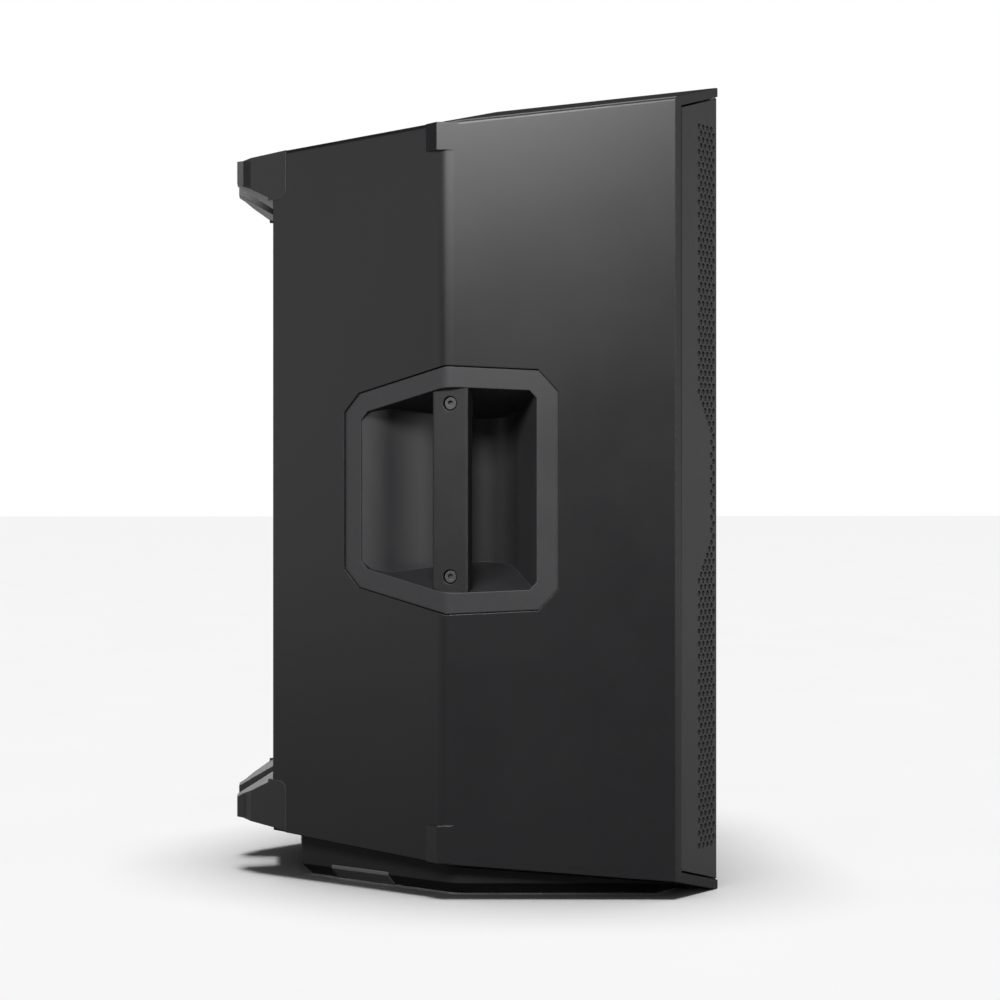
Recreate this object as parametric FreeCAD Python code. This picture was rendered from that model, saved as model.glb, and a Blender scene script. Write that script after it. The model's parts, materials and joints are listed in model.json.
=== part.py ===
import FreeCAD, Part
import math
import os

# Two-way powered loudspeaker with a moulded cabinet, millimetres, +Z up.
# The front grille faces -Y, the amplifier panel faces +Y, and the part is symmetric about X = 0.
# The origin is under the middle of the object, on the surface that the rubber feet stand on.

V = FreeCAD.Vector

# ---- cabinet: plan outline (half, x positive) and the heights of its panel edges ----
front_y = -210.0            # middle of the front face
rear_y = 177.0              # flat rear face
front_half_w = 176.5        # where the front wings start
side_front = (221.0, -164.0)   # front end of the side panel
side_crease = (200.5, 31.0)    # side panel meets the monitor facet
facet_rear = (77.8, 177.0)     # facet meets the rear face
edge_top = (683.5, 662.0, 653.5)     # top panel edge at those three places
edge_bottom = (15.5, 30.5, 42.0)     # bottom panel edge at those three places
shoulder_slope = 0.26       # rise of the bevelled shoulders, per mm inward
shoulder_rise = 11.5        # height of the shoulders over the panel edges
wall = 6.0                  # moulded wall
crease_r = 25.0             # rounding of the side crease
edge_r = 4.5                # rounding of the panel edges
rim_w = 6.5                 # rim left around the front opening
foot_gap = 0.5              # plinth clears the floor by this

# ---- handles ----
handle_z = 348.5
# Half outlines of ring and opening: distance from the crease along the panel, half height.
ring_outline = [(96.6, 83.8), (79.5, 102.6), (0.0, 106.3), (-92.8, 85.3), (-109.0, 68.8)]
mouth_outline = [(78.7, 77.0), (71.4, 85.0), (0.0, 88.0), (-84.0, 69.0), (-91.0, 61.5)]
ring_sink = 2.0             # ring sits below the panel
ring_thick = 4.0
# The pocket behind the ring, as (distance along the side panel, depth behind it) from the crease.
pocket_back = [(-75.4, 54.0), (32.0, 100.0)]
pocket_front = [(78.7, 0.0), (60.0, 80.0)]
pocket_slope = 0.245        # floor and ceiling close in with depth
pocket_half = 88.0          # half height at the mouth
pocket_corner_r = 30.0
cup_depth = 160.0
cup_wall = 3.0
grip_w = 32.0
grip_thick = 14.0
grip_sink = 8.0             # grip face below the sharp crease line
grip_shift = 2.0            # grip's middle, ahead of the crease
bolt_pitch = 148.0

# ---- rear corner bumpers: plan outline behind the cabinet, and their heights ----
bumper_s = -175.7           # parting line on the facet
bumper_plan = [(60.8, 197.4), (47.6, 204.4), (45.5, 210.0), (26.0, 210.0), (20.0, 177.0)]
bumper_tip = (650.3, 49.6)      # outer edge at the rearmost end, top and bottom
bumper_root = (654.6, 42.6)     # outer edge at the parting line
bumper_neck = (611.0, 87.5)     # inner edge where it meets the cabinet's corner
bumper_lobe = (630.5, 67.8)     # inner edge at the rearmost end
bumper_lip = 3.5
bumper_corner_r = 8.5
cap_t = 7.0

# ---- skid blocks that square off the crease at top and bottom ----
skid_tip = 7.0              # sharp corner beyond the crease, along the side panel
skid_s = -19.9              # where its rear face runs out on the facet
skid_inner = (637.7, 62.9)  # inner edges of the top and bottom block

# ---- front: baffle, grille, drivers ----
baffle_y = -160.0
baffle_t = 12.0
grille_t = 1.5
grille_sink = 1.0
grille_gap = 1.6
woofer_z = 226.0
woofer_r = 192.0            # 15 inch frame
cut_r = 176.5
coil_r = 38.0
gap_y = -62.0               # front face of the magnet's top plate
horn_z = 545.0
horn_w = 350.0
horn_h = 190.0
throat_r = 18.0
port_r = 29.0
port_x = 165.0
port_z = 66.0
port_len = 130.0

# ---- rear: amplifier panel ----
amp_w = 136.0
amp_z0 = 165.0
amp_z1 = 545.0
amp_t = 3.0
bay_depth = 28.0            # the panel lies this far inside the rear face
bay_wall = 3.0
panel_y = rear_y - bay_depth
control_z = 452.0
input_z = 396.0
output_z = 346.0
power_z = 192.0
knob_x = 44.0
jack_x = 34.0

# ---- base ----
base_inset = 20.0
base_rear_y = 151.0
bevel_h = 10.0
socket_r = 18.0             # 36 mm pole socket
socket_depth = 80.0
socket_y = 10.0
foot_s = (-75.0, -138.0)    # rear feet along the facet
foot_h = 13.0
rig_boss_r = 10.0
rig_thread_r = 4.25         # tapping hole of M10
rigging_places = [(0.0, -60.0), (0.0, 110.0)]

os.makedirs("parts", exist_ok=True)


def save(name, shape):
    shape.exportStep("parts/" + name + ".step")
    print(name, len(shape.Solids), round(shape.Volume))


def box(x0, x1, y0, y1, z0, z1):
    return Part.makeBox(x1 - x0, y1 - y0, z1 - z0, V(x0, y0, z0))


def rod(r, length, base, axis):
    return Part.makeCylinder(r, length, V(*base), V(*axis))


def tube(r_out, r_in, length, base, axis):
    return rod(r_out, length, base, axis).cut(rod(r_in, length, base, axis))


def mirror_x(shape):
    return shape.mirror(V(0, 0, 0), V(1, 0, 0))


def both_sides(shape):
    return shape.fuse(mirror_x(shape))


def polygon_face(points):
    return Part.Face(Part.makePolygon([V(*p) for p in points] + [V(*points[0])]))


def plan_prism(points, z0, z1):
    return polygon_face([(x, y, z0) for x, y in points]).extrude(V(0, 0, z1 - z0))


def profile_prism(points, half):
    return polygon_face([(-half, y, z) for y, z in points]).extrude(V(2 * half, 0, 0))


def half_space(point, normal):
    """Big block that starts on a plane and lies on the side its normal points to."""
    size = 3000.0
    block = Part.makeBox(size, size, size, V(-size / 2, -size / 2, 0))
    block.Placement = FreeCAD.Placement(V(*point), FreeCAD.Rotation(V(0, 0, 1), V(*normal)))
    return block


def spun(points, x, z):
    """Ring or disc about an axis along Y through (x, z); points are (radius, y)."""
    face = polygon_face([(x + r, y, z) for r, y in points])
    return face.revolve(V(x, 0, z), V(0, 1, 0), 360)


def bolt_circle(radius, count, x, z, y0, head_r, head_h, shank_r, shank_l):
    """Round-headed screws on a circle, pointing into the baffle (+Y)."""
    screws = []
    for i in range(count):
        a = 2 * math.pi * (i + 0.5) / count
        place = (x + radius * math.cos(a), y0 - head_h, z + radius * math.sin(a))
        head = rod(head_r, head_h, place, (0, 1, 0))
        screws.append(head.fuse(rod(shank_r, head_h + shank_l, place, (0, 1, 0))))
    return Part.makeCompound(screws)


# Unit vectors in plan for the right-hand side of the cabinet.
def unit(p, q):
    d = math.dist(p, q)
    return ((q[0] - p[0]) / d, (q[1] - p[1]) / d)


side_dir = unit(side_front, side_crease)
facet_dir = unit(side_crease, facet_rear)
side_out = (side_dir[1], -side_dir[0])
facet_out = (facet_dir[1], -facet_dir[0])
wing_dir = unit((front_half_w, front_y), side_front)
wing_out = (wing_dir[1], -wing_dir[0])
mid_len = math.hypot(side_out[0] + facet_out[0], side_out[1] + facet_out[1])
grip_out = ((side_out[0] + facet_out[0]) / mid_len, (side_out[1] + facet_out[1]) / mid_len)
grip_along = (grip_out[1], -grip_out[0])    # towards the front


def panel_point(s, sink=0.0):
    """Plan point at distance s from the crease: positive on the side panel, negative on the facet."""
    direction, out = (side_dir, side_out) if s >= 0 else (facet_dir, facet_out)
    return (side_crease[0] - s * direction[0] - sink * out[0],
            side_crease[1] - s * direction[1] - sink * out[1])


def cabinet_block(inset, round_crease=True):
    """The cabinet's outer form with every face moved inward by inset."""
    ys = (front_y, side_crease[1], rear_y)
    slope = (edge_top[0] - edge_top[1]) / (side_crease[1] - side_front[1])
    nose = edge_top[0] + slope * (side_front[1] - front_y)
    low_slope = (edge_bottom[1] - edge_bottom[0]) / (side_crease[1] - side_front[1])
    low_nose = edge_bottom[0] - low_slope * (side_front[1] - front_y)
    top = [z + shoulder_rise - inset for z in (nose, edge_top[1], edge_top[2])]
    low = [z - shoulder_rise + inset for z in (low_nose, edge_bottom[1], edge_bottom[2])]
    outline = [(ys[0] + inset, low[0]), (ys[1], low[1]), (ys[2] - inset, low[2]),
               (ys[2] - inset, top[2]), (ys[1], top[1]), (ys[0] + inset, top[0])]
    block = profile_prism(outline, side_front[0] + 20)
    cuts = []
    ends = [(side_front, side_crease, side_out, 0), (side_crease, facet_rear, facet_out, 1)]
    for start, end, out, i in ends:
        moved = (start[0] - inset * out[0], start[1] - inset * out[1], 0)
        cuts.append(half_space(moved, (out[0], out[1], 0)))
        run = math.dist(start, end)
        along = unit(start, end)
        for edge, up in ((edge_top, 1), (edge_bottom, -1)):
            rise = (edge[i + 1] - edge[i]) / run
            t = V(along[0], along[1], rise)
            u = V(-out[0], -out[1], up * shoulder_slope)
            n = t.cross(u)
            n.normalize()
            if n.z * up < 0:
                n = n * -1
            p = V(start[0], start[1], edge[i]) - n * inset
            cuts.append(half_space(p, n))
    wing_point = (side_front[0] - inset * wing_out[0], side_front[1] - inset * wing_out[1], 0)
    cuts.append(half_space(wing_point, (wing_out[0], wing_out[1], 0)))
    for tool in cuts:
        block = block.cut(tool).cut(mirror_x(tool))
    if round_crease:
        block = block.makeFillet(crease_r - inset, crease_edges(block, inset))
    return block


def crease_edges(block, inset):
    """The two upright edges where the side panels meet the facets."""
    found = []
    for edge in block.Edges:
        a, b = edge.Vertexes[0].Point, edge.Vertexes[-1].Point
        upright = abs(a.x - b.x) < 0.01 and abs(a.y - b.y) < 0.01
        if upright and abs(a.y - side_crease[1]) < inset + 2 and abs(a.x) > 150:
            found.append(edge)
    return found


def rounded_cabinet():
    """The outer form with the top edges of its side panels rounded."""
    block = cabinet_block(0)
    panel_edges = []
    for edge in block.Edges:
        a, b = edge.Vertexes[0].Point, edge.Vertexes[-1].Point
        outer = min(abs(a.x), abs(b.x)) > facet_rear[0] - 1
        upright = abs(a.x - b.x) + abs(a.y - b.y) < 0.01
        behind_front = min(a.y, b.y) > side_front[1] - 1 and abs(a.y - b.y) < 200
        in_band = min(a.z, b.z) > edge_top[2] - 1 and max(a.z, b.z) < edge_top[0] + 1
        if outer and behind_front and in_band and not upright and not crowned(a, b, 1):
            panel_edges.append(edge)
    return block.makeFillet(edge_r, panel_edges)


def crowned(a, b, up):
    """True for an edge that climbs a shoulder instead of following the panel's edge."""
    for p in (a, b):
        line = edge_line(p.y, up)
        if (p.z - line) * up > 3:
            return True
    return False


def edge_line(y, up):
    zs = edge_top if up > 0 else edge_bottom
    ys = (side_front[1], side_crease[1], rear_y)
    i = 0 if y < ys[1] else 1
    return zs[i] + (zs[i + 1] - zs[i]) * (y - ys[i]) / (ys[i + 1] - ys[i])


def rim_outline(inset, y):
    """Front view outline of the cabinet, moved inward, as points at one y."""
    slope = (edge_top[0] - edge_top[1]) / (side_crease[1] - side_front[1])
    low_slope = (edge_bottom[1] - edge_bottom[0]) / (side_crease[1] - side_front[1])
    run = side_front[1] - front_y
    top_in = edge_top[0] + slope * run + shoulder_rise
    low_in = edge_bottom[0] - low_slope * run - shoulder_rise
    x_out, x_in = side_front[0] - inset, front_half_w - inset * 0.4
    right = [(x_in, low_in + inset), (x_out, edge_bottom[0] + inset), (x_out, edge_top[0] - inset),
             (x_in, top_in - inset)]
    left = [(-x, z) for x, z in reversed(right)]
    return [(x, y, z) for x, z in right + left]


def front_prism(inset, y0, y1):
    return polygon_face(rim_outline(inset, y0)).extrude(V(0, y1 - y0, 0))


def crown_z(y):
    """Height of the flat middle of the cabinet's top."""
    if y < side_crease[1]:
        slope = (edge_top[0] - edge_top[1]) / (side_crease[1] - side_front[1])
        return edge_top[1] + shoulder_rise + slope * (side_crease[1] - y)
    slope = (edge_top[1] - edge_top[2]) / (rear_y - side_crease[1])
    return edge_top[1] + shoulder_rise - slope * (y - side_crease[1])


rigging_points = [(x, y, crown_z(y) - 1.5) for x, y in rigging_places]


def grown_outline(outline, grow):
    """Closed outline in (s, z), with every end and height moved out by grow."""
    upper = []
    for s, h in outline:
        push = 0.0 if s == 0 else math.copysign(grow, s)
        upper.append((s + push, h + (0.6 * grow if h < outline[2][1] * 0.88 else grow)))
    return upper + [(s, -h) for s, h in reversed(upper)]


def handle_prism(outline, grow, depth):
    """The outline pushed square into both panels, from just outside them."""
    pieces = []
    proud = 1.0
    for sign, direction, out in ((1, side_dir, side_out), (-1, facet_dir, facet_out)):
        ring = []
        for s, z in grown_outline(outline, grow):
            if s * sign >= 0:
                x = side_crease[0] - s * direction[0] + proud * out[0]
                y = side_crease[1] - s * direction[1] + proud * out[1]
                ring.append((x, y, handle_z + z))
        length = depth + proud
        pieces.append(polygon_face(ring).extrude(V(-out[0] * length, -out[1] * length, 0)))
    return pieces[0].fuse(pieces[1])


def grip_point(w, sink, z):
    """Point at w along the grip's width (towards the front) and sink behind the crease line."""
    return (side_crease[0] - sink * grip_out[0] + w * grip_along[0],
            side_crease[1] - sink * grip_out[1] + w * grip_along[1], z)


def cup_prism(outline, grow, depth, start=40.0):
    """The outline pushed straight in behind the grip, down to a flat back wall."""
    cos_half = grip_out[0] * side_out[0] + grip_out[1] * side_out[1]
    ring = [grip_point(s * cos_half, -start, handle_z + z) for s, z in grown_outline(outline, grow)]
    length = start + depth
    return polygon_face(ring).extrude(V(-grip_out[0] * length, -grip_out[1] * length, 0))


def side_point(s, depth):
    """Plan point at s ahead of the crease and depth behind the plane of the side panel."""
    return (side_crease[0] - s * side_dir[0] - depth * side_out[0],
            side_crease[1] - s * side_dir[1] - depth * side_out[1])


def pocket_form(grow):
    """The pocket's hollow, or with grow its outside."""
    back = [side_point(*p) for p in pocket_back]
    front = [side_point(*p) for p in pocket_front]
    run = unit(back[0], back[1])
    leg = unit(front[0], front[1])
    inward = (run[1], -run[0]) if run[1] * side_out[0] - run[0] * side_out[1] < 0 else (-run[1], run[0])
    ahead = (leg[1], -leg[0]) if leg[1] * side_dir[0] - leg[0] * side_dir[1] < 0 else (-leg[1], leg[0])
    form = cup_prism(mouth_outline, grow, cup_depth)
    for point, n in ((back[0], inward), (front[0], ahead)):
        form = form.cut(half_space((point[0] + grow * n[0], point[1] + grow * n[1], 0), (n[0], n[1], 0)))
    corner = [e for e in form.Edges if abs(e.Vertexes[0].X - e.Vertexes[-1].X) < 0.01
              and abs(e.Vertexes[0].Y - e.Vertexes[-1].Y) < 0.01 and depth_of(e.CenterOfMass) > 90]
    form = form.makeFillet(pocket_corner_r + grow, corner)
    tilt = math.hypot(1, pocket_slope)
    for up in (1, -1):
        n = (-side_out[0] * pocket_slope / tilt, -side_out[1] * pocket_slope / tilt, up / tilt)
        p = (side_crease[0] + grow * n[0], side_crease[1] + grow * n[1],
             handle_z + up * pocket_half + grow * n[2])
        form = form.cut(half_space(p, n))
    return form


def depth_of(point):
    """Depth of a point behind the plane of the side panel."""
    return ((side_crease[0] - point.x) * side_out[0] + (side_crease[1] - point.y) * side_out[1])


def grip_box(w0, w1, sink0, sink1, z0, z1):
    ring = [grip_point(w, sink, z0) for w, sink in ((w0, sink0), (w1, sink0), (w1, sink1), (w0, sink1))]
    return polygon_face(ring).extrude(V(0, 0, z1 - z0))


def bumper_trim(up):
    """Half space beyond a bumper's outer face: up is 1 at the top, -1 at the bottom."""
    i = 0 if up > 0 else 1
    y0, y1 = panel_point(bumper_s)[1], bumper_plan[2][1]
    n = V(0, up * (bumper_root[i] - bumper_tip[i]), y1 - y0)
    return half_space((0, y0, bumper_root[i]), (0, n.y, n.z * up))


def bumper_zone(up):
    """Part of the cabinet's corner that a bumper's cap takes the place of."""
    y0 = panel_point(bumper_s)[1]
    i = 0 if up > 0 else 1
    z0 = bumper_root[i] - up * cap_t
    plan = [panel_point(bumper_s), facet_rear, (bumper_plan[4][0], rear_y), (bumper_plan[4][0], y0)]
    z1 = z0 + up * 60
    return plan_prism(plan, min(z0, z1), max(z0, z1))


def bumper_lip_solid(up, grow=0.0):
    """Thin tongue on the facet with a rounded inner corner."""
    i = 0 if up > 0 else 1
    r = bumper_corner_r
    s1 = -math.dist(side_crease, facet_rear) - 6.0
    z0, z1 = bumper_neck[i], bumper_root[i] + up * 5

    def at(s, z):
        x, y = panel_point(s, -grow)
        return V(x, y, z)
    mid = r * (1 - math.sqrt(0.5))
    bend = Part.Arc(at(bumper_s, z0 + up * r), at(bumper_s - mid, z0 + up * mid), at(bumper_s - r, z0))
    edges = [Part.LineSegment(at(bumper_s, z1), at(bumper_s, z0 + up * r)).toShape(),
             bend.toShape(),
             Part.LineSegment(at(bumper_s - r, z0), at(s1, z0)).toShape(),
             Part.LineSegment(at(s1, z0), at(s1, z1)).toShape(),
             Part.LineSegment(at(s1, z1), at(bumper_s, z1)).toShape()]
    face = Part.Face(Part.Wire(edges))
    depth = bumper_lip + grow
    return face.extrude(V(-facet_out[0] * depth, -facet_out[1] * depth, 0))


def corner_bumper(up):
    i = 0 if up > 0 else 1
    plan = [facet_rear] + bumper_plan
    block = plan_prism(plan, 0, 720)
    y0, y1 = rear_y, bumper_plan[2][1]
    rise = bumper_lobe[i] - bumper_neck[i]
    block = block.cut(half_space((0, y0, bumper_neck[i]), (0, up * rise, -up * (y1 - y0))))
    block = block.fuse(bumper_lip_solid(up)).fuse(bumper_zone(up))
    return block.cut(bumper_trim(up)).removeSplitter()


def skid_block(up):
    i = 0 if up > 0 else 1
    tip = (side_crease[0] + skid_tip * side_dir[0], side_crease[1] + skid_tip * side_dir[1])
    plan = [panel_point(12.0), tip, panel_point(skid_s), panel_point(skid_s, 5.0), panel_point(12.0, 5.0)]
    end = (edge_top[1] - 0.5, edge_bottom[1] + 0.5)[i]
    block = plan_prism(plan, min(skid_inner[i], end), max(skid_inner[i], end))
    big = cabinet_block(0, round_crease=False)
    grow = FreeCAD.Matrix()
    grow.scale(V(1.05, 1.05, 1.0))
    return block.common(big.transformGeometry(grow))


def amp_box(margin, y0, y1):
    """Block the size of the amplifier panel, with a margin all round."""
    half = amp_w / 2 + margin
    return box(-half, half, y0, y1, amp_z0 - margin, amp_z1 + margin)


def cabinet_shell():
    outer = rounded_cabinet()
    cavity = cabinet_block(wall)
    skin = outer.cut(outer.translated(V(0, 9.0, 0)))
    front_cut = front_prism(rim_w, front_y - 5, side_front[1] + 8).common(skin)
    pads = [both_sides(box(14, 120, 150, 200, 636, 700)), both_sides(box(14, 120, 150, 200, 0, 56))]
    cavity = cavity.cut(pads[0]).cut(pads[1])
    shell = outer.cut(cavity).cut(front_cut)
    for up in (1, -1):
        shell = shell.fuse(both_sides(skid_block(up)).cut(cavity))
        shell = shell.cut(both_sides(bumper_zone(up))).cut(both_sides(bumper_lip_solid(up, 0.5)))
    shell = shell.cut(both_sides(handle_prism(ring_outline, 0.0, wall + 8)))
    shell = shell.cut(both_sides(pocket_form(cup_wall)))
    seat_y = panel_y - amp_t
    shell = shell.fuse(amp_box(0.5 + bay_wall, seat_y - bay_wall, rear_y - 1))
    shell = shell.cut(amp_box(0.5, seat_y, rear_y + 1)).cut(amp_box(-6, seat_y - 10, rear_y))
    shell = shell.cut(rod(socket_r + 4.0, 60, (0, socket_y, -1), (0, 0, 1)))
    for x, y, z in rigging_points:
        shell = shell.cut(rod(rig_boss_r, 40, (x, y, z - 30), (0, 0, 1)))
    return shell.removeSplitter()


def front_baffle():
    plate = cabinet_block(wall).common(box(-230, 230, baffle_y, baffle_y + baffle_t, -10, 710))
    plate = plate.cut(rod(cut_r + 1, 40, (0, baffle_y - 5, woofer_z), (0, 1, 0)))
    plate = plate.cut(box(-horn_w / 2 - 4, horn_w / 2 + 4, baffle_y - 5, baffle_y + 30,
                          horn_z - horn_h / 2 - 4, horn_z + horn_h / 2 + 4))
    for x in (port_x, -port_x):
        plate = plate.cut(rod(port_r + 3, 40, (x, baffle_y - 5, port_z), (0, 1, 0)))
    return plate


def folded_sheet(sink, thick, margin):
    """Sheet that follows the wings and the middle of the front, inside the rim."""
    sheet = cabinet_block(sink, False).cut(cabinet_block(sink + thick, False))
    sheet = sheet.common(front_prism(rim_w + margin, front_y - 5, side_front[1] - 4)).removeSplitter()
    return max(sheet.Solids, key=lambda solid: solid.Volume)


def make_front():
    save("front_baffle", front_baffle().cut(woofer_screws()).cut(horn_screws()))
    save("grille", folded_sheet(grille_sink, grille_t, grille_gap))
    save("grille_foam", folded_sheet(grille_sink + grille_t, 5.0, grille_gap + 2))


def woofer_screws():
    return bolt_circle(woofer_r - 5, 8, 0.0, woofer_z, baffle_y - 7, 4.5, 3, 2.5, 16)


def horn_screws():
    screws = []
    for x in (-horn_w / 2 - 6, horn_w / 2 + 6):
        for z in (-horn_h / 2 - 6, 0, horn_h / 2 + 6):
            start = (x, baffle_y - 5.5, horn_z + z)
            screws.append(rod(4, 2.5, start, (0, 1, 0)).fuse(rod(2, 16, start, (0, 1, 0))))
    return Part.makeCompound(screws)


def make_woofer():
    x, z, y = 0.0, woofer_z, baffle_y
    frame = spun([(woofer_r, y - 4), (woofer_r, y), (cut_r, y), (cut_r - 4, y + 14), (84, gap_y - 6),
                  (84, gap_y), (50, gap_y), (50, gap_y - 3), (80.5, gap_y - 3), (80.5, gap_y - 8),
                  (cut_r - 8, y + 11), (cut_r - 6, y - 1), (cut_r - 6, y - 4)], x, z)
    for i in range(6):
        window = box(-22, 22, gap_y - 62, gap_y - 14, 0, 170)
        window.rotate(V(0, 0, 0), V(0, 1, 0), 60 * i)
        window.translate(V(x, 0, z))
        frame = frame.cut(window)
    screws = woofer_screws()
    save("woofer_frame", frame.cut(screws))
    save("woofer_gasket", tube(woofer_r - 2, cut_r, 3, (x, y - 4, z), (0, -1, 0)).cut(screws))
    save("woofer_screws", screws)
    roll_y = y - 5.0
    roll_r, roll = cut_r - 16, 10.0
    ring = Part.makeTorus(roll_r, roll, V(x, roll_y, z), V(0, 1, 0))
    ring = ring.cut(Part.makeTorus(roll_r, roll - 1, V(x, roll_y, z), V(0, 1, 0)))
    ring = ring.cut(box(-230, 230, roll_y, roll_y + 30, z - 230, z + 230))
    save("woofer_surround", ring)
    cone_r = roll_r - roll - 0.1
    cone = [(cone_r, roll_y - 0.8), (cone_r, roll_y + 0.8), (coil_r, y + 62), (coil_r, y + 60)]
    save("woofer_cone", spun(cone, x, z))
    dome_r, dome_base = 60.0, y + 55.0
    middle = V(x, dome_base + 40, z)
    dome = Part.makeSphere(dome_r, middle).cut(Part.makeSphere(dome_r - 1, middle))
    save("woofer_dust_cap", dome.cut(box(-100, 100, dome_base, dome_base + 150, z - 100, z + 100)))
    save("woofer_voice_coil", tube(coil_r, coil_r - 0.8, gap_y + 6 - (y + 60), (x, y + 60, z), (0, 1, 0)))
    save("woofer_spider", tube(97, coil_r + 0.1, 1.2, (x, gap_y - 26, z), (0, 1, 0)))
    save("woofer_top_plate", tube(78, coil_r + 2.5, 10, (x, gap_y, z), (0, 1, 0)))
    save("woofer_magnet", tube(80, 48, 22, (x, gap_y + 10, z), (0, 1, 0)))
    pole = rod(coil_r - 1.5, 32, (x, gap_y, z), (0, 1, 0)).fuse(rod(76, 10, (x, gap_y + 32, z), (0, 1, 0)))
    save("woofer_back_plate", pole.cut(rod(8, 60, (x, gap_y - 5, z), (0, 1, 0))))


def square_wire(width, height, y):
    return Part.makePolygon([V(-width / 2, y, horn_z - height / 2), V(width / 2, y, horn_z - height / 2),
                             V(width / 2, y, horn_z + height / 2), V(-width / 2, y, horn_z + height / 2),
                             V(-width / 2, y, horn_z - height / 2)])


def make_horn():
    y0, y1 = baffle_y, baffle_y + 64
    throat = 2 * throat_r
    mouth = square_wire(horn_w + 6, horn_h + 6, y0 - 3)
    skin = Part.makeLoft([mouth, square_wire(throat + 6, throat + 6, y1)], True, True)
    half_w, half_h = horn_w / 2 + 11, horn_h / 2 + 11
    flange = box(-half_w, half_w, y0 - 3, y0, horn_z - half_h, horn_z + half_h)
    plate = box(-52, 52, y1 - 4, y1, horn_z - 52, horn_z + 52)
    hollow = Part.makeLoft([square_wire(horn_w, horn_h, y0 - 3), square_wire(throat, throat, y1)], True, True)
    body = skin.fuse(flange).fuse(plate).cut(hollow)
    screws = horn_screws()
    save("horn_waveguide", body.removeSplitter().cut(screws))
    save("horn_screws", screws)
    save("driver_plate", tube(52, throat_r, 8, (0, y1, horn_z), (0, 1, 0)))
    save("driver_magnet", tube(50, throat_r + 2, 30, (0, y1 + 8, horn_z), (0, 1, 0)))
    cap_y = y1 + 38
    cap = rod(46, 22, (0, cap_y, horn_z), (0, 1, 0)).cut(rod(41, 19, (0, cap_y, horn_z), (0, 1, 0)))
    save("driver_rear_cap", cap)
    dome = Part.makeSphere(30, V(0, cap_y - 14, horn_z)).cut(Part.makeSphere(29, V(0, cap_y - 14, horn_z)))
    save("driver_diaphragm", dome.cut(box(-60, 60, cap_y - 60, cap_y + 3, horn_z - 60, horn_z + 60)))


def make_ports():
    for side, x in (("left", -port_x), ("right", port_x)):
        body = tube(port_r + 3, port_r, port_len, (x, baffle_y, port_z), (0, 1, 0))
        lip = tube(port_r + 6, port_r, 2, (x, baffle_y - 2, port_z), (0, 1, 0))
        save("port_tube_" + side, body.fuse(lip))


def make_handles(shell):
    ring = cabinet_block(ring_sink).cut(cabinet_block(ring_sink + ring_thick))
    ring = ring.common(handle_prism(ring_outline, -0.8, 30))
    flange = cabinet_block(wall).cut(cabinet_block(wall + 2.5)).common(handle_prism(ring_outline, 7, 30))
    cup = pocket_form(cup_wall).common(cabinet_block(ring_sink))
    hollow = pocket_form(0.0)
    handle = ring.fuse(flange).fuse(cup).cut(hollow)
    w0, w1 = grip_shift - grip_w / 2, grip_shift + grip_w / 2
    back = grip_sink + grip_thick
    grip = grip_box(w0, w1, grip_sink, back, handle_z - 95, handle_z + 95)
    long_edges = [e for e in grip.Edges if abs(e.Vertexes[0].Z - e.Vertexes[-1].Z) > 100]
    grip = grip.makeFillet(2.0, long_edges).common(cup_prism(mouth_outline, -0.3, cup_depth))
    handle = handle.cut(grip)
    bolts = []
    out = (grip_out[0], grip_out[1], 0)
    for z in (handle_z + bolt_pitch / 2, handle_z - bolt_pitch / 2):
        face = grip_point(grip_shift, grip_sink, z)
        seat = grip_point(grip_shift, grip_sink + 6.5, z)
        up = 1 if z > handle_z else -1
        low, high = sorted((z - up * 9, z + up * 16))
        boss = grip_box(w0 + 7, w1 - 7, back, back + 22, low, high).common(pocket_form(1.0))
        reach = rod(3.1, 30, seat, (-out[0], -out[1], 0))
        handle = handle.fuse(boss).cut(reach)
        grip = grip.cut(rod(6.25, 10, seat, out)).cut(reach)
        bolt = rod(5.0, 5.0, seat, out).fuse(rod(3.0, 26, seat, (-out[0], -out[1], 0)))
        hexagon = [V(*face) + (V(out[1], -out[0], 0) * math.cos(a) + V(0, 0, 1) * math.sin(a)) * 2.9
                   for a in [math.radians(60 * i) for i in range(7)]]
        socket = Part.Face(Part.makePolygon(hexagon)).extrude(V(-out[0] * 4.5, -out[1] * 4.5, 0))
        bolts.append(bolt.cut(socket))
    handle = handle.removeSplitter().cut(shell)
    handle = max(handle.Solids, key=lambda solid: solid.Volume)
    save("handle_cup_right", handle)
    save("handle_cup_left", mirror_x(handle))
    save("grip_bar_right", grip)
    save("grip_bar_left", mirror_x(grip))
    save("grip_bolts", Part.makeCompound(bolts + [mirror_x(b) for b in bolts]))


def socket_shell(x, z, body_r, depth):
    """Connector: square flange on the panel, round barrel behind it."""
    flange = box(x - 13, x + 13, panel_y, panel_y + 2, z - 15.5, z + 15.5)
    return flange.fuse(rod(body_r, depth, (x, panel_y, z), (0, -1, 0)))


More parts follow.
